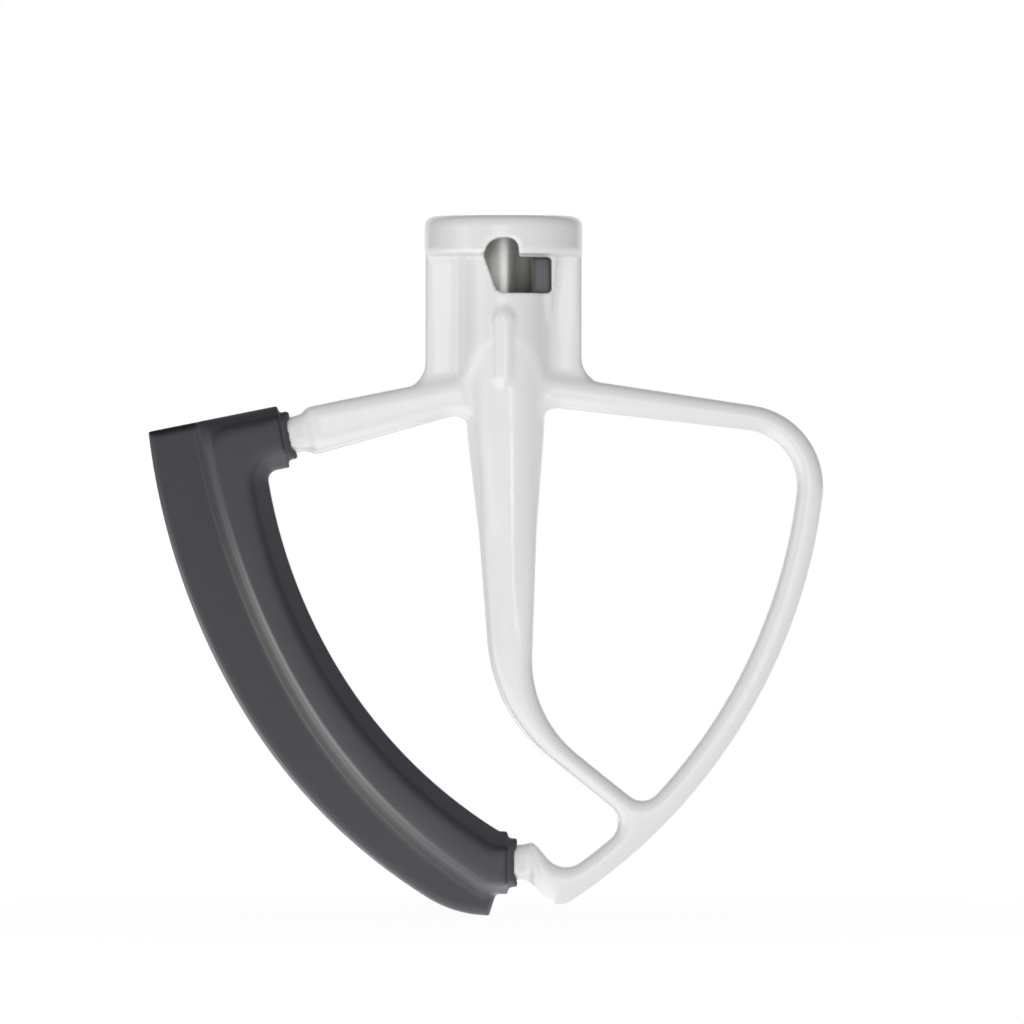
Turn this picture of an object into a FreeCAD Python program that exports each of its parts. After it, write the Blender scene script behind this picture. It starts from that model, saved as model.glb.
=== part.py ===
"""Flat beater for a stand mixer: a coated cast frame with a moulded flexible wiper on one side.

Millimetres. X runs across the beater, Z runs up the drive shaft, and the front looks along -Y.
The origin is the centre of the shaft bore at the top face of the collar.
"""
import FreeCAD
import Part
import math
import os

# Collar and boss, round about the shaft axis
COLLAR_D = 32.8
COLLAR_H = 8.0
COLLAR_TOP_BEVEL = 1.3
COLLAR_TOP_BREAK = 0.5
COLLAR_LOW_CHAMFER = 0.6
BOSS_D = 19.0
BOSS_FOOT_Z = -25.0
BOSS_TOE_Z = -35.0
BOSS_BLEND_R = 2.5
BORE_D = 12.9
BORE_DEPTH = 36.0
BORE_LEAD = 0.4

# Bayonet slot for the drive pin of the shaft
PIN_REACH = 9.9
SLOT_LEFT_X = -4.0
SLOT_ENTRY_W = 7.2
SLOT_ENTRY_TOP_Z = -4.6
SLOT_ENTRY_LEFT_R = 3.7
SLOT_ENTRY_RIGHT_R = 2.4
SLOT_TOP_Z = -8.5
SLOT_H = 7.5
SLOT_RAMP = 2.6
SLOT_RAMP_R = 2.2
SLOT_END_Y = 2.0
RIDGE_D = 3.6
RIDGE_WALL = 1.2
RIDGE_PROUD = 1.0
RIDGE_LENGTH = 13.0
RIDGE_LEAN = 1.0
RIDGE_SINK = 1.4

# Bead down the front of the boss
BEAD_W = 5.2
BEAD_PROUD = 1.3
BEAD_TOP_Z = -18.6
BEAD_LENGTH = 12.1
BEAD_LEAN = 1.1

# Side wings of the hub and the two arms
WING_W = 32.4
WING_T = 5.2
WING_BEVEL = 0.9
WING_BREAK = 0.3
WING_FLARE_R = 5.4
WING_SINK = 0.15
FRAME_T = 9.0
FRAME_BEVEL = 1.4
FRAME_BREAK = 0.5
ARM_TOP_Z = -31.4
ARM_LOW_Z = -38.5
LEFT_TOP_ANGLE = 11.3
LEFT_LOW_ANGLE = 15.7
RIGHT_TOP_ANGLE = 8.6
RIGHT_LOW_ANGLE = 6.6
CROTCH_R = 3.4

# Right side of the loop and the heel at its foot
SIDE_R = 117.7
SIDE_W = 5.45
SIDE_TOP_X = 66.4
SIDE_TOP_Z = -57.0
SIDE_FOOT_X = 15.0
SIDE_FOOT_Z = -141.5
SIDE_CORNER_R = 17.0
HEEL_R = 5.0
HEEL_ANGLE = 45.0
HEEL_BROW_H = 1.7
HEEL_BROW_ANGLE = 52.0

# Central stem, round in section, and the leg that runs from it to the right side
STEM_TOP_Z = -46.0
STEM_TOP_D = 15.9
STEM_FOOT_X = 1.35
STEM_FOOT_Z = -88.0
STEM_FOOT_D = 9.5
STEM_WAIST = 0.4
STEM_SINK = 0.1
STEM_END_Z = -100.0
STEM_END_D = 4.6
STEM_RIB_INSET = 0.9
LEG_ANGLE = 38.8
LEG_W = 4.5
LEG_MEET_X = 21.0
LEG_MEET_Z = -119.1
LEG_BEND_LEFT_R = 35.0
LEG_BEND_RIGHT_R = 25.0
LEG_CROTCH_R = 4.0

# Core of the loop under the wiper, with the necks and shoulders at its two ends
CORE_W = 7.6
CORE_T = 7.2
CORE_CHAMFER = 1.6
CORE_ELBOW_R = 2.5
ELBOW_X = -56.6
ELBOW_Z = -47.9
ELBOW_ANGLE = 9.6
FOOT_X = -2.7
FOOT_Z = -134.2
FOOT_ANGLE = 58.3
ARM_SHOULDER_X = -40.6
HEEL_SHOULDER_X = 5.5
SHOULDER_H = 1.0

# Wiper: a sleeve over the core with slanted sides, a ring at each end and a fin
SLEEVE_W = 13.0
SLEEVE_T = 12.0
SLANT_T = 3.5
SLANT_OUTER_W = 2.3
SLANT_INNER_W = 3.6
SLEEVE_ARM_END_X = -45.7
SLEEVE_FOOT_END_X = 0.9
SLEEVE_ELBOW_R = 2.0
BASE_CORNER_R = 1.2
FRONT_CORNER_R = 5.0
RING_WALL = 1.2
RING_L = 2.0
FIT_GAP = 0.1
FIN_T = 3.6
FIN_CHAMFER = 1.0
FIN_TOP_W = 9.9
FIN_FOOT_W = 6.6
FIN_TOP_ANGLE = 6.7
FIN_TIP_L = 7.1
FIN_TIP_R = 24.0
FIN_END_ANGLE = 18.0


def at(x, z, y=0.0):
    """Point x across and z up in the beater plane, y behind it."""
    return FreeCAD.Vector(x, y, z)


def toward(angle):
    """Unit vector in the beater plane, in degrees from +X up towards +Z."""
    return at(math.cos(math.radians(angle)), math.sin(math.radians(angle)))


def left_of(direction):
    """Direction turned a quarter turn to the left in the beater plane."""
    return at(-direction.z, direction.x)


def meet(p, p_way, q, q_way):
    """Point where the line through p and the line through q cross."""
    gap = q - p
    cross = p_way.x * q_way.z - p_way.z * q_way.x
    return p + p_way * ((gap.x * q_way.z - gap.z * q_way.x) / cross)


def meet_circle(p, way, centre, radius):
    """Point where the line from p along way leaves the circle."""
    along = (centre - p).dot(way)
    miss = (p + way * along - centre).Length
    return p + way * (along + math.sqrt(radius ** 2 - miss ** 2))


def circle_centre(p, q, radius):
    """Centre of the circle through p and q that lies to the right of the way from p to q."""
    half = (q - p) * 0.5
    reach = math.sqrt(radius ** 2 - half.Length ** 2)
    return p + half - left_of(half).normalize() * reach


def arc(start, end, centre):
    """Edge round the centre, the short way from start to end."""
    middle = ((start + end) * 0.5 - centre).normalize()
    return Part.Arc(start, centre + middle * (start - centre).Length, end).toShape()


def tangent_arc(start, way, end):
    """Edge that leaves start along way and bends round to end."""
    chord = end - start
    normal = left_of(way)
    radius = chord.Length ** 2 / (2.0 * chord.dot(normal))
    return arc(start, end, start + normal * radius)


def two_arcs(start, start_way, end, end_way):
    """Two edges that join smoothly and run from start to end along the given ways."""
    chord = end - start
    ways = start_way + end_way
    bend = 2.0 * (1.0 - start_way.dot(end_way))
    pull = chord.dot(ways)
    handle = (math.sqrt(pull ** 2 + bend * chord.dot(chord)) - pull) / bend
    joint = (start + end + (start_way - end_way) * handle) * 0.5
    joint_way = (end - end_way * handle - start - start_way * handle).normalize()
    return [tangent_arc(start, start_way, joint), tangent_arc(joint, joint_way, end)]


def path(points):
    """Straight edges from each point to the next."""
    return [Part.makeLine(a, b) for a, b in zip(points, points[1:])]


def prism(edges, thickness):
    """Outline thickened evenly to the front and the back of the beater plane."""
    face = Part.Face(Part.Wire(edges))
    face.translate(at(0, 0, -thickness / 2))
    return face.extrude(at(0, 0, thickness))


def round_corners(solid, corners):
    """Round the front-to-back edges nearest to the given corners, each by its own radius."""
    for corner, radius in corners:
        crosswise = [e for e in solid.Edges if abs(e.tangentAt(e.FirstParameter).y) > 0.999]
        edge = min(crosswise, key=lambda e: (e.CenterOfMass - corner).Length)
        solid = solid.makeFillet(radius, [edge])
    return solid


def rim_edges(solid, way, level):
    """Edges of the flat face that lies at the given level along the way."""
    return [e for e in solid.Edges if all(abs(v.Point.dot(way) - level) < 1e-6 for v in e.Vertexes)]


def soften(solid, way, level, bevel, edge_break):
    """Round off the rim of a flat face by a bevel with a narrower one on each side of it."""
    for height, width in ((level, bevel), (level, edge_break), (level - bevel, edge_break)):
        solid = solid.makeChamfer(width, rim_edges(solid, way, height))
    return solid


# Lines that the frame and the wiper share
AXIS_TOP = at(0, ARM_TOP_Z)
AXIS_LOW = at(0, ARM_LOW_Z)
LEFT_TOP = toward(LEFT_TOP_ANGLE)
LEFT_LOW = toward(LEFT_LOW_ANGLE)
RIGHT_TOP = toward(-RIGHT_TOP_ANGLE)
RIGHT_LOW = toward(-RIGHT_LOW_ANGLE)
DOWN = toward(-90)
UP = toward(90)
ACROSS = toward(0)
FRONT = at(0, 0, -1)
BACK = at(0, 0, 1)
ELBOW = at(ELBOW_X, ELBOW_Z)
ELBOW_WAY = toward(ELBOW_ANGLE - 90)
FOOT = at(FOOT_X, FOOT_Z)
FOOT_WAY = toward(FOOT_ANGLE - 90)
SIDE_CENTRE = circle_centre(at(SIDE_TOP_X, SIDE_TOP_Z), at(SIDE_FOOT_X, SIDE_FOOT_Z), SIDE_R)
SIDE_INNER_R = SIDE_R - SIDE_W
SLOT_FLOOR_Z = SLOT_TOP_Z - SLOT_H
STEM_TOP_X = STEM_FOOT_X * (STEM_TOP_Z - BOSS_FOOT_Z) / (STEM_FOOT_Z - BOSS_FOOT_Z)


def corner_reach(radius):
    """Length that an arc of that radius takes up on each side of the corner at the elbow."""
    return radius * math.tan(LEFT_TOP.getAngle(ELBOW_WAY * -1) / 2)


def loop_outline(outer, inner, corner_r, arm_end_x, foot_end_x):
    """Outline about the line of the hidden core, from its end on the arm to its end at the heel.

    outer and inner are the distances from that line to the outer and inner sides, and corner_r rounds the
    outer corner at the elbow.
    """
    up = left_of(LEFT_TOP)
    top = ELBOW + up * outer
    low = ELBOW - up * inner
    arm_end = meet(ELBOW, LEFT_TOP, at(arm_end_x, 0), DOWN)
    outer_line = ELBOW - left_of(ELBOW_WAY) * outer
    inner_line = ELBOW + left_of(ELBOW_WAY) * inner
    outer_corner = meet(top, LEFT_TOP, outer_line, ELBOW_WAY)
    inner_corner = meet(low, LEFT_TOP, inner_line, ELBOW_WAY)
    outer_foot = meet(FOOT - left_of(FOOT_WAY) * outer, FOOT_WAY, at(0, FOOT_Z - outer), ACROSS)
    inner_foot = meet(FOOT + left_of(FOOT_WAY) * inner, FOOT_WAY, at(0, FOOT_Z + inner), ACROSS)
    low_end = at(foot_end_x, FOOT_Z - outer)
    top_end = at(foot_end_x, FOOT_Z + inner)
    corner_top = outer_corner + LEFT_TOP * corner_reach(corner_r)
    corner_low = outer_corner + ELBOW_WAY * corner_reach(corner_r)
    edges = path([arm_end - up * inner, arm_end + up * outer, corner_top])
    edges += [tangent_arc(corner_top, LEFT_TOP * -1, corner_low)]
    edges += two_arcs(corner_low, ELBOW_WAY, outer_foot, FOOT_WAY)
    edges += path([outer_foot, low_end, top_end, inner_foot])
    reach = corner_reach(SLEEVE_ELBOW_R + SLEEVE_W / 2 - inner)
    elbow_low = inner_corner + ELBOW_WAY * reach
    elbow_side = inner_corner + LEFT_TOP * reach
    edges += two_arcs(inner_foot, FOOT_WAY * -1, elbow_low, ELBOW_WAY * -1)
    edges += [tangent_arc(elbow_low, ELBOW_WAY * -1, elbow_side)]
    edges += path([elbow_side, arm_end - up * inner])
    return edges


def frame_outline():
    """Outer outline of the open frame, with the corners to round and their radii."""
    shoulder = meet(ELBOW, LEFT_TOP, at(ARM_SHOULDER_X, 0), DOWN)
    shoulder_way = left_of(LEFT_TOP)
    shoulder_top = meet(shoulder, shoulder_way, AXIS_TOP, LEFT_TOP)
    shoulder_low = meet(shoulder, shoulder_way, AXIS_LOW, LEFT_LOW)
    stem_way = (stem_left_foot() - stem_left_top()).normalize()
    crotch = meet(AXIS_LOW, LEFT_LOW, stem_left_top(), stem_way)
    leg = leg_point(-LEG_W / 2)
    bend = meet(stem_left_top(), stem_way, leg, leg_way())
    leg_foot = meet_circle(leg, leg_way(), SIDE_CENTRE, SIDE_INNER_R)
    heel_top = at(HEEL_SHOULDER_X, FOOT_Z + CORE_W / 2 + HEEL_BROW_H)
    heel_low = at(HEEL_SHOULDER_X, FOOT_Z - CORE_W / 2 - SHOULDER_H)
    heel_inner = meet_circle(heel_top, toward(-HEEL_BROW_ANGLE), SIDE_CENTRE, SIDE_INNER_R)
    heel_outer = meet_circle(heel_low, toward(-HEEL_ANGLE), SIDE_CENTRE, SIDE_R)
    corner = meet_circle(AXIS_TOP, RIGHT_TOP, SIDE_CENTRE, SIDE_R)
    edges = path([AXIS_TOP, shoulder_top, shoulder_low, crotch, bend, leg_foot])
    edges += [arc(leg_foot, heel_inner, SIDE_CENTRE)]
    edges += path([heel_inner, heel_top, heel_low, heel_outer])
    edges += [arc(heel_outer, corner, SIDE_CENTRE)]
    edges += path([corner, AXIS_TOP])
    corners = [
        (crotch, CROTCH_R),
        (bend, LEG_BEND_LEFT_R),
        (leg_foot, LEG_CROTCH_R),
        (heel_inner, HEEL_R),
        (heel_outer, HEEL_R),
        (corner, SIDE_CORNER_R),
    ]
    return edges, corners


def right_window():
    """Outline of the gap between stem, leg and right side, with its corners and their radii."""
    stem_way = (stem_right_foot() - stem_right_top()).normalize()
    crotch = meet(AXIS_LOW, RIGHT_LOW, stem_right_top(), stem_way)
    leg = leg_point(LEG_W / 2)
    bend = meet(stem_right_top(), stem_way, leg, leg_way())
    leg_foot = meet_circle(leg, leg_way(), SIDE_CENTRE, SIDE_INNER_R)
    corner = meet_circle(AXIS_LOW, RIGHT_LOW, SIDE_CENTRE, SIDE_INNER_R)
    edges = path([corner, crotch, bend, leg_foot])
    edges += [arc(leg_foot, corner, SIDE_CENTRE)]
    corners = [
        (crotch, CROTCH_R),
        (bend, LEG_BEND_RIGHT_R),
        (leg_foot, LEG_CROTCH_R),
        (corner, SIDE_CORNER_R - SIDE_W),
    ]
    return edges, corners


def stem_left_top():
    return at(STEM_TOP_X - STEM_TOP_D / 2 + STEM_RIB_INSET, STEM_TOP_Z)


def stem_right_top():
    return at(STEM_TOP_X + STEM_TOP_D / 2 - STEM_RIB_INSET, STEM_TOP_Z)


def stem_left_foot():
    return at(STEM_FOOT_X - STEM_FOOT_D / 2, STEM_FOOT_Z)


def stem_right_foot():
    return at(STEM_FOOT_X + STEM_FOOT_D / 2, STEM_FOOT_Z)


def leg_way():
    return toward(-LEG_ANGLE)


def leg_point(offset):
    """Point on the line of the leg, moved sideways, upwards where the offset is positive."""
    return at(LEG_MEET_X, LEG_MEET_Z) + left_of(leg_way()) * offset


def open_frame():
    """Arms, leg, right side and heel, with rounded edges all along."""
    outline, corners = frame_outline()
    solid = round_corners(prism(outline, FRAME_T), corners)
    window, corners = right_window()
    solid = solid.cut(round_corners(prism(window, FRAME_T), corners))
    for way in (FRONT, BACK):
        solid = soften(solid, way, FRAME_T / 2, FRAME_BEVEL, FRAME_BREAK)
    return solid


def upright(diameter, top_z, foot_z):
    """Upright cylinder about the shaft axis."""
    return Part.makeCylinder(diameter / 2, top_z - foot_z, at(0, foot_z))


def stem():
    """Round stem that tapers down a slightly leaning axis from the boss and sinks into the leg."""
    top = at(0, BOSS_FOOT_Z)
    way = (at(STEM_FOOT_X, STEM_FOOT_Z) - top).normalize()
    waist_d = (STEM_TOP_D + STEM_FOOT_D) / 2 - 2 * STEM_WAIST
    waist_z = (STEM_TOP_Z + STEM_FOOT_Z) / 2
    sizes = [(BOSS_FOOT_Z, BOSS_D - 2 * STEM_SINK), (STEM_TOP_Z, STEM_TOP_D), (waist_z, waist_d),
             (STEM_FOOT_Z, STEM_FOOT_D), (STEM_END_Z, STEM_END_D)]
    side = [top + way * (BOSS_FOOT_Z - z) + left_of(way) * (diameter / 2) for z, diameter in sizes]
    end = top + way * (BOSS_FOOT_Z - STEM_END_Z)
    return Part.Face(Part.makePolygon([top] + side + [end, top])).revolve(top, way, 360)


def collar():
    """Flat disc at the top of the hub, with rounded rims."""
    solid = soften(upright(COLLAR_D, 0, -COLLAR_H), UP, 0, COLLAR_TOP_BEVEL, COLLAR_TOP_BREAK)
    return solid.makeChamfer(COLLAR_LOW_CHAMFER, rim_edges(solid, UP, -COLLAR_H))


def boss():
    """Round boss whose foot slants back to the face of the arms at the front and the back."""
    solid = upright(BOSS_D, -COLLAR_H / 2, BOSS_TOE_Z)
    start = FRAME_T / 2
    reach = BOSS_D - start
    rise = (BOSS_FOOT_Z - BOSS_TOE_Z) / (BOSS_D / 2 - start) * reach
    for way in (FRONT, BACK):
        toe = at(-BOSS_D, BOSS_TOE_Z) + way * start
        wedge = Part.makePolygon([toe, toe + way * reach, toe + way * reach + UP * rise, toe])
        solid = solid.cut(Part.Face(wedge).extrude(ACROSS * (2 * BOSS_D)))
    return solid


def wings():
    """Thin web from the collar down to the arms, flaring out onto their top faces and sunk into them."""
    sunk = AXIS_TOP + DOWN * WING_SINK
    depth = (ARM_TOP_Z - ARM_LOW_Z) / 2
    left = at(-WING_W / 2, -COLLAR_H / 2)
    right = at(WING_W / 2, -COLLAR_H / 2)
    left_flare = meet(left, DOWN, sunk, LEFT_TOP)
    right_flare = meet(right, DOWN, sunk, RIGHT_TOP)
    left_toe = left_flare - LEFT_TOP * (2 * WING_FLARE_R)
    right_toe = right_flare + RIGHT_TOP * (2 * WING_FLARE_R)
    edges = path([right, left, left_flare, left_toe, left_toe + DOWN * depth, AXIS_LOW,
                  right_toe + DOWN * depth, right_toe, right_flare, right])
    solid = round_corners(prism(edges, WING_T), [(left_flare, WING_FLARE_R), (right_flare, WING_FLARE_R)])
    for way in (FRONT, BACK):
        solid = soften(solid, way, WING_T / 2, WING_BEVEL, WING_BREAK)
    return solid


def hub():
    """Wings and boss, with soft blends from one to the other."""
    solid = wings().fuse(boss()).Solids[0]
    half = WING_T / 2
    crease_x = math.sqrt((BOSS_D / 2) ** 2 - half ** 2)
    creases = [e for e in solid.Edges
               if all(abs(abs(v.X) - crease_x) + abs(abs(v.Y) - half) < 1e-3 for v in e.Vertexes)
               and abs(e.tangentAt(e.FirstParameter).z) > 0.999]
    return solid.makeFillet(BOSS_BLEND_R, creases)


def rod(top, foot, diameter):
    """Round-ended rod from top to foot."""
    radius = diameter / 2
    body = Part.makeCylinder(radius, (foot - top).Length, top, foot - top)
    return body.fuse(Part.makeSphere(radius, top)).fuse(Part.makeSphere(radius, foot))


def ridge():
    """Ridge beside the end of the slot, leaning in and sinking into the boss below it."""
    top = at(PIN_REACH + RIDGE_WALL - RIDGE_D / 2, -COLLAR_H, -WING_T / 2 - RIDGE_PROUD)
    return rod(top, top + at(-RIDGE_LEAN, -RIDGE_LENGTH, RIDGE_SINK), RIDGE_D)


def bead():
    """Rounded bead down the front of the boss, sinking into it at its foot."""
    top = at(0, BEAD_TOP_Z - BEAD_W / 2, -BOSS_D / 2 - BEAD_PROUD + BEAD_W / 2)
    return rod(top, top + at(0, -BEAD_LENGTH, BEAD_LEAN), BEAD_W)


def bore():
    """Blind hole for the drive shaft, with a lead-in at its mouth."""
    radius = BORE_D / 2
    lead = Part.makeCone(radius, radius + BORE_LEAD, BORE_LEAD, at(0, -BORE_LEAD))
    return upright(BORE_D, 0, -BORE_DEPTH).fuse(lead)


def bayonet_slot():
    """Way in for the drive pin, and the quarter-turn slot that hooks it."""
    right = SLOT_LEFT_X + SLOT_ENTRY_W
    entry_left = at(SLOT_LEFT_X, SLOT_ENTRY_TOP_Z)
    entry_right = at(right, SLOT_ENTRY_TOP_Z)
    ramp_foot = at(SLOT_LEFT_X + SLOT_RAMP, SLOT_FLOOR_Z)
    points = [entry_left, entry_right, at(right, SLOT_TOP_Z), at(PIN_REACH, SLOT_TOP_Z),
              at(PIN_REACH, SLOT_FLOOR_Z), ramp_foot, at(SLOT_LEFT_X, SLOT_TOP_Z), entry_left]
    front = -COLLAR_D
    face = Part.Face(Part.Wire(path(points)))
    face.translate(at(0, 0, front))
    opening = face.extrude(at(0, 0, SLOT_END_Y - front))
    opening = round_corners(opening, [(entry_left, SLOT_ENTRY_LEFT_R), (entry_right, SLOT_ENTRY_RIGHT_R),
                                      (ramp_foot, SLOT_RAMP_R)])
    way_in = Part.makeBox(SLOT_ENTRY_W, PIN_REACH, -SLOT_TOP_Z, at(SLOT_LEFT_X, SLOT_TOP_Z, -PIN_REACH))
    way_in = way_in.common(upright(2 * PIN_REACH, 0, SLOT_TOP_Z))
    return opening.fuse(way_in)


def core(clearance=0.0, arm_end_x=ARM_SHOULDER_X, foot_end_x=HEEL_SHOULDER_X):
    """Core of the loop under the wiper, grown by a clearance, from shoulder to shoulder or to other ends."""
    half = CORE_W / 2 + clearance
    thickness = CORE_T + 2 * clearance
    outline = loop_outline(half, half, CORE_ELBOW_R + clearance, arm_end_x, foot_end_x)
    solid = prism(outline, thickness)
    for way in (FRONT, BACK):
        solid = solid.makeChamfer(CORE_CHAMFER, rim_edges(solid, way, thickness / 2))
    return solid


def beater_frame():
    solid = open_frame()
    for piece in (hub(), stem(), ridge(), bead(), collar(), core()):
        solid = solid.fuse(piece)
    return solid.cut(bore().fuse(bayonet_slot()))


def sleeve():
    """Body of the wiper: slanted on all sides towards a narrower flat front and back."""
    half = SLEEVE_W / 2
    front_y = SLEEVE_T / 2
    base_y = front_y - SLANT_T
    wires = []
    for y, slanted in ((-front_y, 1), (-base_y, 0), (base_y, 0), (front_y, 1)):
        outer = half - slanted * SLANT_OUTER_W
        inner = half - slanted * SLANT_INNER_W
        corner_r = FRONT_CORNER_R if slanted else BASE_CORNER_R
        wire = Part.Wire(loop_outline(outer, inner, corner_r, SLEEVE_ARM_END_X, SLEEVE_FOOT_END_X))
        wire.translate(at(0, 0, y))
        wires.append(wire)
    return Part.makeLoft(wires, True, True)


def fin():
    """Thin flexible edge along the outside of the sleeve, curling under at its foot."""
    half = SLEEVE_W / 2
    top = ELBOW + left_of(LEFT_TOP) * half
    root = meet(top, LEFT_TOP, ELBOW, ELBOW_WAY)
    corner = meet(top, LEFT_TOP, ELBOW - left_of(ELBOW_WAY) * (half + FIN_TOP_W), ELBOW_WAY)
    top_way = toward(FIN_TOP_ANGLE - 90)
    foot = FOOT - left_of(FOOT_WAY) * (half + FIN_FOOT_W) - FOOT_WAY * FIN_TIP_L
    tip_centre = foot + left_of(FOOT_WAY) * FIN_TIP_R
    tip = tip_centre + DOWN * FIN_TIP_R
    edges = path([root, corner])
    edges += two_arcs(corner, top_way, foot, FOOT_WAY)
    edges += [arc(foot, tip, tip_centre)]
    end = meet(tip, toward(90 - FIN_END_ANGLE), FOOT, ACROSS)
    edges += path([tip, end])
    edges += two_arcs(end, FOOT_WAY * -1, root, ELBOW_WAY * -1)
    solid = prism(edges, FIN_T)
    for way in (FRONT, BACK):
        solid = solid.makeChamfer(FIN_CHAMFER, rim_edges(solid, way, FIN_T / 2))
    return solid


def flex_edge():
    rings = core(RING_WALL, SLEEVE_ARM_END_X + RING_L, SLEEVE_FOOT_END_X + RING_L)
    solid = sleeve().fuse(rings).fuse(fin())
    return solid.cut(core(FIT_GAP))


os.makedirs("parts", exist_ok=True)
beater_frame().exportStep("parts/beater_frame.step")
flex_edge().exportStep("parts/flex_edge.step")
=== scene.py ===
"""Looks of the flat beater: a gloss-coated casting and a soft dark wiper, both softened from the CAD solids."""
import math
from collections import namedtuple

import bmesh
import bpy
import numpy as np
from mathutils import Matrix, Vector


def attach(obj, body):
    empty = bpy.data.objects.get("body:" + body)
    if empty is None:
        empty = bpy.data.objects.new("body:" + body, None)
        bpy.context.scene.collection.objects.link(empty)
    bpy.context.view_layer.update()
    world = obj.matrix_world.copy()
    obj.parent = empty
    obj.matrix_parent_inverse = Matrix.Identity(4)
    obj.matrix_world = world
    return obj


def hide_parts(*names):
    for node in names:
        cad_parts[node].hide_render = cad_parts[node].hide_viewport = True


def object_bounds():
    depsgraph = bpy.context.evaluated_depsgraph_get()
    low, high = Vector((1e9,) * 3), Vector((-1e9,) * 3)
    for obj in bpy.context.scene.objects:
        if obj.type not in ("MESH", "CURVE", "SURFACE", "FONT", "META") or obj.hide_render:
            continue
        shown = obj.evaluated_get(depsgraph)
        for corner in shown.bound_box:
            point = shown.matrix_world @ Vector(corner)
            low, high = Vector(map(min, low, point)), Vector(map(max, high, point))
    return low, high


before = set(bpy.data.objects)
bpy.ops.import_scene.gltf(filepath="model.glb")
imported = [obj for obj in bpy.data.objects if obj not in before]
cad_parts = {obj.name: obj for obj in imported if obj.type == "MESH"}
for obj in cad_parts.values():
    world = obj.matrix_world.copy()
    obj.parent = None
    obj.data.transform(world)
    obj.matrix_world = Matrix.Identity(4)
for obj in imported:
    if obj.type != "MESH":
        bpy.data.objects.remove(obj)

CAD_LOW, CAD_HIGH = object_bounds()
MM = 0.001
UP = (0.0, 1.0)
DOWN = (1.0, 0.0)

# Grid on which each piece is meshed anew, and the smoothing that takes off its sharp edges without shrinking it
FRAME_GRID = 0.49 * MM
WIPER_GRID = 0.38 * MM
WELD = 0.001 * MM
FRAME_ROUNDS = 20
WIPER_ROUNDS = 12
SMOOTH_IN = 0.5
SMOOTH_OUT = -0.525

# Further rounds for edges that are rounder still. A pair of lengths says where a share starts and where it is full
FRAME_SOFT_ROUNDS = 60
FRAME_EDGE_SHARE = 0.5
FRAME_EDGE_DEPTH = (1.8 * MM, 3.2 * MM)
BELOW_SLOT = (20.0 * MM, 26.0 * MM)
BESIDE_BEAD = (3.5 * MM, 6.5 * MM)
BELOW_HUB = (36.0 * MM, 42.0 * MM)
BELOW_HUB_SHARE = 0.1
WIPER_SOFT_ROUNDS = 45
WIPER_EDGE_DEPTH = (2.0 * MM, 3.2 * MM)
WIPER_LEAST_SHARE = 0.08
ARM_SLOPE = 0.2
ARM_FOOT_Z = -60.0 * MM
ARM_RING = (-57.0 * MM, -55.0 * MM)
FOOT_RING = (-2.0 * MM, 0.0)

# Places on the casting that are rounded further: the share holds inside the near radius and ends at the far one
SoftSpot = namedtuple("SoftSpot", "x z near far share")
HEEL_BROW = SoftSpot(x=5.7 * MM, z=-129.0 * MM, near=2.5 * MM, far=4.5 * MM, share=1.0)
HEEL_CORNER = SoftSpot(x=6.2 * MM, z=-136.5 * MM, near=3.0 * MM, far=6.0 * MM, share=0.5)
ARM_SHOULDER = SoftSpot(x=-40.5 * MM, z=-44.5 * MM, near=4.0 * MM, far=8.0 * MM, share=0.5)
SOFT_SPOTS = (HEEL_BROW, HEEL_CORNER, ARM_SHOULDER)

# Bare machined zone inside the hub
BARE_R = (6.75 * MM, 7.0 * MM)
BARE_FLOOR_Z = (-36.5 * MM, -36.3 * MM)
BARE_MOUTH_Z = (-0.9 * MM, -0.6 * MM)
METAL = (0.56, 0.56, 0.535, 1), (0.60, 0.60, 0.575, 1)
METAL_ROUGH = (0.33, 0.38)
STREAK_SCALE = (60.0, 60.0, 2600.0)
STREAK_SPAN = (0.3, 0.7)
STREAK_BUMP = 0.03
STREAK_DEPTH = 0.05 * MM

# Dark flat end of the slot, with a short fade at each of its limits
SLOT_END_X = (6.0 * MM, 6.2 * MM)
SLOT_END_Y = (0.5 * MM, 0.7 * MM), (2.2 * MM, 2.35 * MM)
SLOT_END_Z = (-16.3 * MM, -16.1 * MM), (-8.4 * MM, -8.2 * MM)
SLOT_END_R = (10.6 * MM, 10.8 * MM)
SLOT_END_COLOUR = (0.19, 0.195, 0.22, 1)

# White coat, with noise scales per metre
WHITE = (0.805, 0.805, 0.80, 1), (0.835, 0.835, 0.832, 1)
WHITE_ROUGH = (0.22, 0.28)
WHITE_CLOUD = 45.0
WHITE_SPAN = (0.1, 0.9)
PEEL_SCALE = 620.0
PEEL_BUMP = 0.05
PEEL_DEPTH = 0.25 * MM
SPECK_SCALE = 2600.0
SPECK_SHARE = 0.12
GLOSS_WEIGHT = 0.35
GLOSS_ROUGH = 0.16

# Dark silicone
DARK = (0.011, 0.010, 0.016, 1), (0.018, 0.0165, 0.025, 1)
DARK_ROUGH = (0.40, 0.50)
DARK_CLOUD = 60.0
DARK_CLOUD_SHARE = 0.7
DARK_SPAN = (0.2, 0.8)
DUST_SCALE = 900.0
DUST_BUMP = 0.06
DUST_DEPTH = 0.15 * MM
GRAIN_SCALE = 3800.0
GRAIN_BUMP = 0.18
GRAIN_DEPTH = 0.06 * MM
SHEEN_WEIGHT = 0.15
SHEEN_ROUGH = 0.35

# Painted light on the silicone: a paler colour on its slanted sides and on its front, chosen by the distance from
# the middle plane
SLANT_DEPTH = (1.9 * MM, 2.7 * MM), (4.9 * MM, 5.8 * MM)
SLANT_PAINTED_LIGHT = (0.046, 0.044, 0.055, 1)
FRONT_DEPTH = (5.3 * MM, 5.9 * MM)
FRONT_SHARE = 0.6
FRONT_PAINTED_LIGHT = (0.030, 0.028, 0.038, 1)
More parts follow.
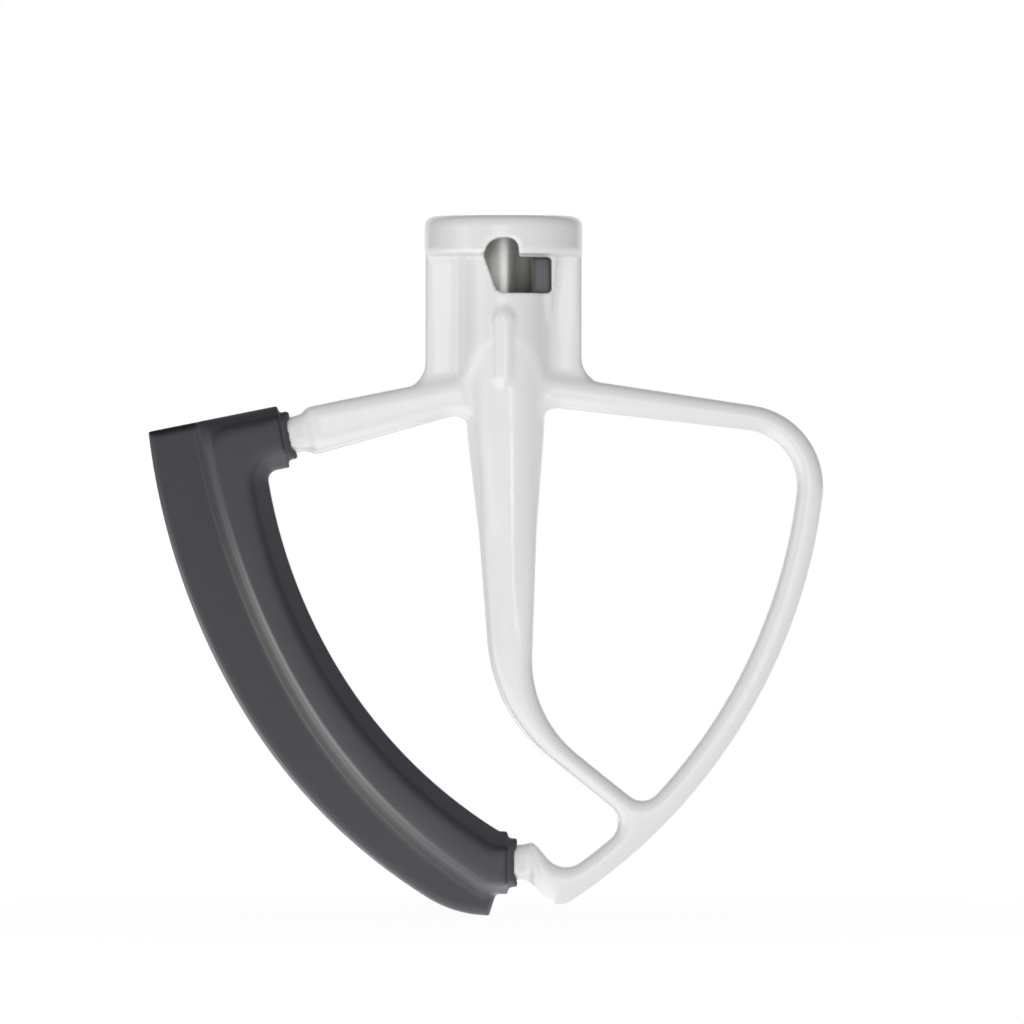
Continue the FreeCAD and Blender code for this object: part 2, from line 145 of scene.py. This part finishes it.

# Painted light on the silicone: a paler colour on faces that look outwards and a painted highlight line on the
# edge before them, weaker towards both ends
WIPER_OUT = (-0.85, 0.0, -0.52)
OUTER_TURN = (0.45, 0.7)
OUTER_PAINTED_LIGHT = (0.095, 0.095, 0.091, 1)
EDGE_TURN = (0.18, 0.36), (0.42, 0.6)
EDGE_DEPTH = (4.0 * MM, 4.8 * MM)
EDGE_PAINTED_HIGHLIGHT = (0.17, 0.17, 0.168, 1)
PAINTED_LIGHT_Z = (-55.0 * MM, -88.0 * MM)
PAINTED_LIGHT_TOP_SHARE = 0.1
PAINTED_LIGHT_X = (-36.0 * MM, -6.0 * MM)
PAINTED_LIGHT_FOOT_SHARE = 0.2

# White floor: all white beyond the far radius, with room for a shadow inside the near one
FLOOR_REACH = 4.0
FLOOR_DROP = 0.3 * MM
FLOOR_RADIUS = (0.03, 0.25)
FLOOR_WHITE = 0.92
FLOOR_GLOW = 0.8
FLOOR_COLOUR = (0.9, 0.9, 0.9, 1)
PURE_WHITE = (1, 1, 1, 1)

# Soft light: where most of it comes from, its strength there and on the far side, what is added from the back and
# from the top, and the share of it that gloss sees. The spans are cosines of the angle to each of those ways
LIGHT_FROM = (-0.12, -0.9, -0.42)
SKY_SPAN = (-0.3, 1.0)
SKY_STRENGTH = (0.08, 1.13)
SKY_TINT = (1.0, 1.0, 1.02, 1)
BACK_SPAN = (0.6, 1.0)
BACK_STRENGTH = (0.0, 0.6)
TOP_SPAN = (0.5, 1.0)
TOP_STRENGTH = (0.0, 0.28)
GLOSS_SHARE = 0.4
BACKDROP_SPAN = (0.6, 0.9)
CARD_DROP = 0.15 * MM

# Camera: the photograph's frame at the plane of the beater
IMAGE_W = 212.7 * MM
CENTRE_X = 1.765 * MM
CENTRE_Z = -61.37 * MM
CAMERA_AWAY = 2.5
CAMERA_END = 50.0
SENSOR = 36.0


def grid_copy(node, grid):
    """New mesh with the node's shape on an even grid."""
    mesh = node.data.copy()
    bm = bmesh.new()
    bm.from_mesh(mesh)
    bmesh.ops.remove_doubles(bm, verts=bm.verts, dist=WELD)
    bm.to_mesh(mesh)
    bm.free()
    source = bpy.data.objects.new("grid_source", mesh)
    bpy.context.scene.collection.objects.link(source)
    remesh = source.modifiers.new("grid", "REMESH")
    remesh.mode = "VOXEL"
    remesh.voxel_size = grid
    graph = bpy.context.evaluated_depsgraph_get()
    result = bpy.data.meshes.new_from_object(source.evaluated_get(graph))
    bpy.data.objects.remove(source)
    bpy.data.meshes.remove(mesh)
    return result


def ramp(values, reach):
    """Share that rises evenly from 0 at the start of the reach to 1 at its end."""
    start, full = reach
    return np.clip((values - start) / (full - start), 0.0, 1.0)


def frame_share(points):
    """Share of further rounding on the casting: its edges below the slot and beside the bead, and the spots."""
    x, y, z = points.T
    below_hub = ramp(-z, BELOW_HUB)
    beside = np.maximum(ramp(np.abs(x), BESIDE_BEAD), below_hub)
    edges = ramp(np.abs(y), FRAME_EDGE_DEPTH) * ramp(-z, BELOW_SLOT) * beside
    spots = [spot.share * (1.0 - ramp(np.hypot(x - spot.x, z - spot.z), (spot.near, spot.far)))
             for spot in SOFT_SPOTS]
    return np.maximum.reduce([edges * FRAME_EDGE_SHARE, below_hub * BELOW_HUB_SHARE, *spots])


def wiper_share(points):
    """Share of further rounding on the wiper: its front and back edges, hardly its fin, outline and end rings."""
    x, y, z = points.T
    arm_end = 1.0 - ramp(x + ARM_SLOPE * z, ARM_RING)
    foot_end = 1.0 - ramp(x, FOOT_RING)
    edges = ramp(np.abs(y), WIPER_EDGE_DEPTH) * np.where(z > ARM_FOOT_Z, arm_end, foot_end)
    return np.maximum(edges, WIPER_LEAST_SHARE)


def relax(mesh, rounds, soft_rounds, soft_share):
    """Round off the mesh's edges without shrinking it, then further where asked, inside the CAD box."""
    count = len(mesh.vertices)
    points = np.empty(count * 3)
    mesh.vertices.foreach_get("co", points)
    points = points.reshape(-1, 3)
    edges = np.empty(len(mesh.edges) * 2, dtype=np.int64)
    mesh.edges.foreach_get("vertices", edges)
    a, b = edges.reshape(-1, 2).T
    valence = np.bincount(edges, minlength=count)[:, None]
    steps = [SMOOTH_IN, SMOOTH_OUT] * rounds + [SMOOTH_IN * soft_share(points)[:, None]] * soft_rounds
    for step in steps:
        total = np.stack([np.bincount(a, points[b, k], count) + np.bincount(b, points[a, k], count)
                          for k in range(3)], axis=1)
        points += step * (total / valence - points)
    points = np.clip(points, np.array(CAD_LOW), np.array(CAD_HIGH))
    mesh.vertices.foreach_set("co", points.ravel())
    mesh.update()


def soft_piece(node_name, name, grid, smoothing, material):
    """Piece that stands for a CAD node, with the rounded edges of a casting or a moulding."""
    mesh = grid_copy(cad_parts[node_name], grid)
    relax(mesh, *smoothing)
    mesh.name = name
    mesh.materials.clear()
    mesh.materials.append(material)
    mesh.shade_smooth()
    piece = bpy.data.objects.new(name, mesh)
    bpy.context.scene.collection.objects.link(piece)
    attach(piece, "root")
    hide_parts(node_name)


class Nodes:
    """Short calls for building a tree of shader nodes."""

    def __init__(self, tree):
        self.tree = tree
        self.tree.nodes.clear()

    def add(self, kind, inputs=None, **settings):
        node = self.tree.nodes.new(kind)
        for key, value in settings.items():
            setattr(node, key, value)
        for key, value in (inputs or {}).items():
            self.feed(node.inputs[key], value)
        return node

    def feed(self, socket, value):
        if isinstance(value, bpy.types.NodeSocket):
            self.tree.links.new(value, socket)
        else:
            socket.default_value = value

    def math(self, operation, a, b=0.0, clamp=False):
        return self.add("ShaderNodeMath", {0: a, 1: b}, operation=operation, use_clamp=clamp).outputs[0]

    def product(self, first, *others):
        for other in others:
            first = self.math("MULTIPLY", first, other)
        return first

    def along(self, vector, way):
        """Part of a vector that goes a given way."""
        return self.add("ShaderNodeVectorMath", {0: vector, 1: way}, operation="DOT_PRODUCT").outputs["Value"]

    def noise(self, place, scale, detail=2.0, roughness=0.5):
        return self.add("ShaderNodeTexNoise", {"Vector": place, "Scale": scale, "Detail": detail,
                                               "Roughness": roughness}).outputs["Fac"]

    def span(self, value, reach, ends=UP, smooth=False):
        """Number that goes from one end to the other while the value crosses the reach."""
        node = self.add("ShaderNodeMapRange", {"Value": value, "From Min": reach[0], "From Max": reach[1],
                                               "To Min": ends[0], "To Max": ends[1]})
        node.interpolation_type = "SMOOTHSTEP" if smooth else "LINEAR"
        return node.outputs["Result"]

    def band(self, value, limits, smooth=False):
        """1 between the two limits and 0 outside them, where each limit is a short reach."""
        rise, fall = limits
        return self.product(self.span(value, rise, UP, smooth), self.span(value, fall, DOWN, smooth))

    def mix(self, factor, a, b):
        """Number between a and b."""
        return self.add("ShaderNodeMix", {0: factor, 2: a, 3: b}, data_type="FLOAT").outputs[0]

    def mix_colour(self, factor, a, b):
        """Colour between a and b."""
        return self.add("ShaderNodeMix", {0: factor, 6: a, 7: b}, data_type="RGBA").outputs[2]

    def bump(self, height, strength, distance, normal=None):
        node = self.add("ShaderNodeBump", {"Height": height, "Strength": strength, "Distance": distance})
        if normal is not None:
            self.feed(node.inputs["Normal"], normal)
        return node.outputs["Normal"]


def new_material(name):
    """Material with an empty tree, and the calls to fill it."""
    material = bpy.data.materials.new(name)
    material.use_nodes = True
    return material, Nodes(material.node_tree)


def coat_material():
    """White baked coat with a slight orange peel, and bare machined metal inside the hub."""
    material, n = new_material("coat")
    place = n.add("ShaderNodeTexCoord").outputs["Object"]
    x, y, z = n.add("ShaderNodeSeparateXYZ", {0: place}).outputs
    radius = n.math("SQRT", n.math("ADD", n.product(x, x), n.product(y, y)))
    bore = n.product(n.span(radius, BARE_R, DOWN, smooth=True), n.span(z, BARE_FLOOR_Z),
                     n.span(z, BARE_MOUTH_Z, DOWN))
    slot_end = n.product(n.span(x, SLOT_END_X), n.band(y, SLOT_END_Y), n.band(z, SLOT_END_Z),
                         n.span(radius, SLOT_END_R, DOWN))
    bare = n.math("MAXIMUM", bore, slot_end)

    cloud = n.noise(place, WHITE_CLOUD, detail=3.0)
    white = n.mix_colour(n.span(cloud, WHITE_SPAN), *WHITE)
    streak_place = n.add("ShaderNodeMapping", {"Vector": place, "Scale": STREAK_SCALE}).outputs[0]
    streak = n.noise(streak_place, 1.0)
    metal = n.mix_colour(n.span(streak, STREAK_SPAN), *METAL)
    metal = n.mix_colour(slot_end, metal, SLOT_END_COLOUR)

    rough_white = n.span(cloud, WHITE_SPAN, WHITE_ROUGH)
    rough_metal = n.span(streak, STREAK_SPAN, METAL_ROUGH)
    speck = n.noise(place, SPECK_SCALE, detail=1.0)
    height = n.math("ADD", n.noise(place, PEEL_SCALE), n.product(speck, SPECK_SHARE))
    normal = n.bump(height, PEEL_BUMP, PEEL_DEPTH)
    normal = n.bump(n.product(streak, bare), STREAK_BUMP, STREAK_DEPTH, normal)
    shader = n.add("ShaderNodeBsdfPrincipled", {
        "Base Color": n.mix_colour(bare, white, metal),
        "Metallic": n.math("SUBTRACT", bare, slot_end, clamp=True),
        "Roughness": n.mix(bare, rough_white, rough_metal),
        "Normal": normal,
        "Coat Weight": n.product(n.math("SUBTRACT", 1.0, bare), GLOSS_WEIGHT),
        "Coat Roughness": GLOSS_ROUGH,
    })
    n.add("ShaderNodeOutputMaterial", {"Surface": shader.outputs[0]})
    return material


def wiper_material():
    """Dark matte silicone with a fine moulded grain, a soft sheen, and painted light on its slanted sides, its
    front and its outer side.
    """
    material, n = new_material("wiper")
    coordinates = n.add("ShaderNodeTexCoord").outputs
    place = coordinates["Object"]
    outward = n.along(coordinates["Normal"], WIPER_OUT)
    x, y, z = n.add("ShaderNodeSeparateXYZ", {0: place}).outputs
    depth = n.math("ABSOLUTE", y)

    cloud = n.noise(place, DARK_CLOUD, detail=4.0, roughness=0.6)
    dust = n.noise(place, DUST_SCALE)
    shade = n.mix(DARK_CLOUD_SHARE, dust, cloud)
    colour = n.mix_colour(n.span(shade, DARK_SPAN), *DARK)
    # painted light: the slanted sides and the front are made paler than the fin
    colour = n.mix_colour(n.band(depth, SLANT_DEPTH, smooth=True), colour, SLANT_PAINTED_LIGHT)
    colour = n.mix_colour(n.span(depth, FRONT_DEPTH, (0.0, FRONT_SHARE)), colour, FRONT_PAINTED_LIGHT)
    # painted light on the outward faces and a painted highlight line along their edge, weakest near the arm end
    # and the foot end
    painted_light_reach = n.product(n.span(z, PAINTED_LIGHT_Z, (PAINTED_LIGHT_TOP_SHARE, 1.0), smooth=True),
                       n.span(x, PAINTED_LIGHT_X, (1.0, PAINTED_LIGHT_FOOT_SHARE), smooth=True))
    outer_painted_light = n.product(n.span(outward, OUTER_TURN, smooth=True), painted_light_reach)
    colour = n.mix_colour(outer_painted_light, colour, OUTER_PAINTED_LIGHT)
    edge_painted_highlight = n.product(n.band(outward, EDGE_TURN, smooth=True), n.span(depth, EDGE_DEPTH, smooth=True), painted_light_reach)
    colour = n.mix_colour(edge_painted_highlight, colour, EDGE_PAINTED_HIGHLIGHT)

    normal = n.bump(n.noise(place, GRAIN_SCALE), GRAIN_BUMP, GRAIN_DEPTH)
    normal = n.bump(dust, DUST_BUMP, DUST_DEPTH, normal)
    shader = n.add("ShaderNodeBsdfPrincipled", {
        "Base Color": colour,
        "Roughness": n.span(cloud, DARK_SPAN, DARK_ROUGH),
        "Normal": normal,
        "Sheen Weight": SHEEN_WEIGHT,
        "Sheen Roughness": SHEEN_ROUGH,
    })
    n.add("ShaderNodeOutputMaterial", {"Surface": shader.outputs[0]})
    return material


def seen_directly(n):
    """Socket that is 1 for what the camera sees directly, in gloss or through glass."""
    path = n.add("ShaderNodeLightPath").outputs
    return n.math("MAXIMUM", path["Is Camera Ray"],
                  n.math("MAXIMUM", path["Is Glossy Ray"], path["Is Transmission Ray"]))


def floor_material():
    """White floor that keeps a faint shadow near the beater."""
    material, n = new_material("floor_white")
    diffuse = n.add("ShaderNodeBsdfDiffuse", {"Color": FLOOR_COLOUR})
    white = n.add("ShaderNodeEmission", {"Color": PURE_WHITE, "Strength": 1.0})
    place = n.add("ShaderNodeTexCoord").outputs["Object"]
    away = n.add("ShaderNodeVectorMath", {0: place}, operation="LENGTH").outputs["Value"]
    share = n.span(away, FLOOR_RADIUS, (FLOOR_WHITE, 1.0), smooth=True)
    share = n.mix(seen_directly(n), FLOOR_GLOW, share)
    mixed = n.add("ShaderNodeMixShader", {0: share, 1: diffuse.outputs[0], 2: white.outputs[0]})
    n.add("ShaderNodeOutputMaterial", {"Surface": mixed.outputs[0]})
    return material


def build_floor():
    """Floor just under the beater."""
    mesh = bpy.data.meshes.new("floor")
    reach, z = FLOOR_REACH, CAD_LOW[2] - FLOOR_DROP
    corners = [(-reach, -reach, z), (reach, -reach, z), (reach, reach, z), (-reach, reach, z)]
    mesh.from_pydata(corners, [], [(0, 1, 2, 3)])
    mesh.materials.append(floor_material())
    floor = bpy.data.objects.new("floor", mesh)
    bpy.context.scene.collection.objects.link(floor)


def build_world():
    """Soft light that comes mostly from the front, lower left, before a white background."""
    world = bpy.data.worlds.new("studio")
    bpy.context.scene.world = world
    world.use_nodes = True
    n = Nodes(world.node_tree)
    way = n.add("ShaderNodeTexCoord").outputs["Generated"]
    axes = n.add("ShaderNodeSeparateXYZ", {0: way}).outputs
    behind, above = axes["Y"], axes["Z"]
    level = n.span(n.along(way, Vector(LIGHT_FROM).normalized()), SKY_SPAN, SKY_STRENGTH, smooth=True)
    added = n.math("ADD", n.span(behind, BACK_SPAN, BACK_STRENGTH, smooth=True),
                   n.span(above, TOP_SPAN, TOP_STRENGTH, smooth=True))
    soft = n.add("ShaderNodeBackground", {"Color": SKY_TINT, "Strength": n.math("ADD", level, added)})
    in_gloss = n.math("MAXIMUM", n.product(level, GLOSS_SHARE), n.span(behind, BACKDROP_SPAN, smooth=True))
    strength = n.math("MAXIMUM", n.add("ShaderNodeLightPath").outputs["Is Camera Ray"], in_gloss)
    white = n.add("ShaderNodeBackground", {"Color": PURE_WHITE, "Strength": strength})
    mixed = n.add("ShaderNodeMixShader", {0: seen_directly(n), 1: soft.outputs[0], 2: white.outputs[0]})
    n.add("ShaderNodeOutputWorld", {"Surface": mixed.outputs[0]})


def area_lamp(name, place, width, height, power):
    """Rectangular lamp that the camera does not see."""
    data = bpy.data.lights.new(name, "AREA")
    data.shape = "RECTANGLE"
    data.size = width
    data.size_y = height
    data.energy = power
    lamp = bpy.data.objects.new(name, data)
    lamp.location = place
    lamp.visible_camera = False
    bpy.context.scene.collection.objects.link(lamp)
    return lamp


def soft_box(name, place, width, height, power):
    """Studio light that looks at the middle of the beater."""
    lamp = area_lamp(name, place, width, height, power)
    aim = Vector((CENTRE_X, 0.0, CENTRE_Z)) - lamp.location
    lamp.rotation_euler = aim.to_track_quat("-Z", "Y").to_euler()


def gloss_card(name, x, y, width, length, power, turn=0.0):
    """Bright card that lies on the floor, face up, and shows in gloss alone."""
    card = area_lamp(name, (x, y, CAD_LOW[2] - CARD_DROP), width, length, power)
    card.rotation_euler = (math.pi, 0, turn)
    card.visible_diffuse = False


def build_camera():
    """Camera that looks straight at the front of the beater."""
    data = bpy.data.cameras.new("camera")
    data.sensor_width = SENSOR
    data.sensor_fit = "HORIZONTAL"
    data.lens = SENSOR * CAMERA_AWAY / IMAGE_W
    data.clip_end = CAMERA_END
    camera = bpy.data.objects.new("camera", data)
    camera.location = (CENTRE_X, -CAMERA_AWAY, CENTRE_Z)
    camera.rotation_euler = (math.pi / 2, 0, 0)
    bpy.context.scene.collection.objects.link(camera)
    bpy.context.scene.camera = camera


soft_piece("beater_frame", "coated_frame", FRAME_GRID, (FRAME_ROUNDS, FRAME_SOFT_ROUNDS, frame_share),
           coat_material())
soft_piece("flex_edge", "soft_wiper", WIPER_GRID, (WIPER_ROUNDS, WIPER_SOFT_ROUNDS, wiper_share),
           wiper_material())
build_floor()
build_world()
soft_box("key", place=(-1.04, -0.6, -0.06), width=0.5, height=0.8, power=1.4)
soft_box("front", place=(-0.08, -1.6, -0.03), width=0.55, height=0.8, power=2.8)
gloss_card("wiper_card", x=-0.24, y=-0.12, width=0.5, length=0.4, power=1.1)
gloss_card("stem_card", x=0.191, y=-0.59, width=0.07, length=0.55, power=0.68, turn=math.radians(17.8))
build_camera()
bpy.context.scene.view_settings.view_transform = "Standard"
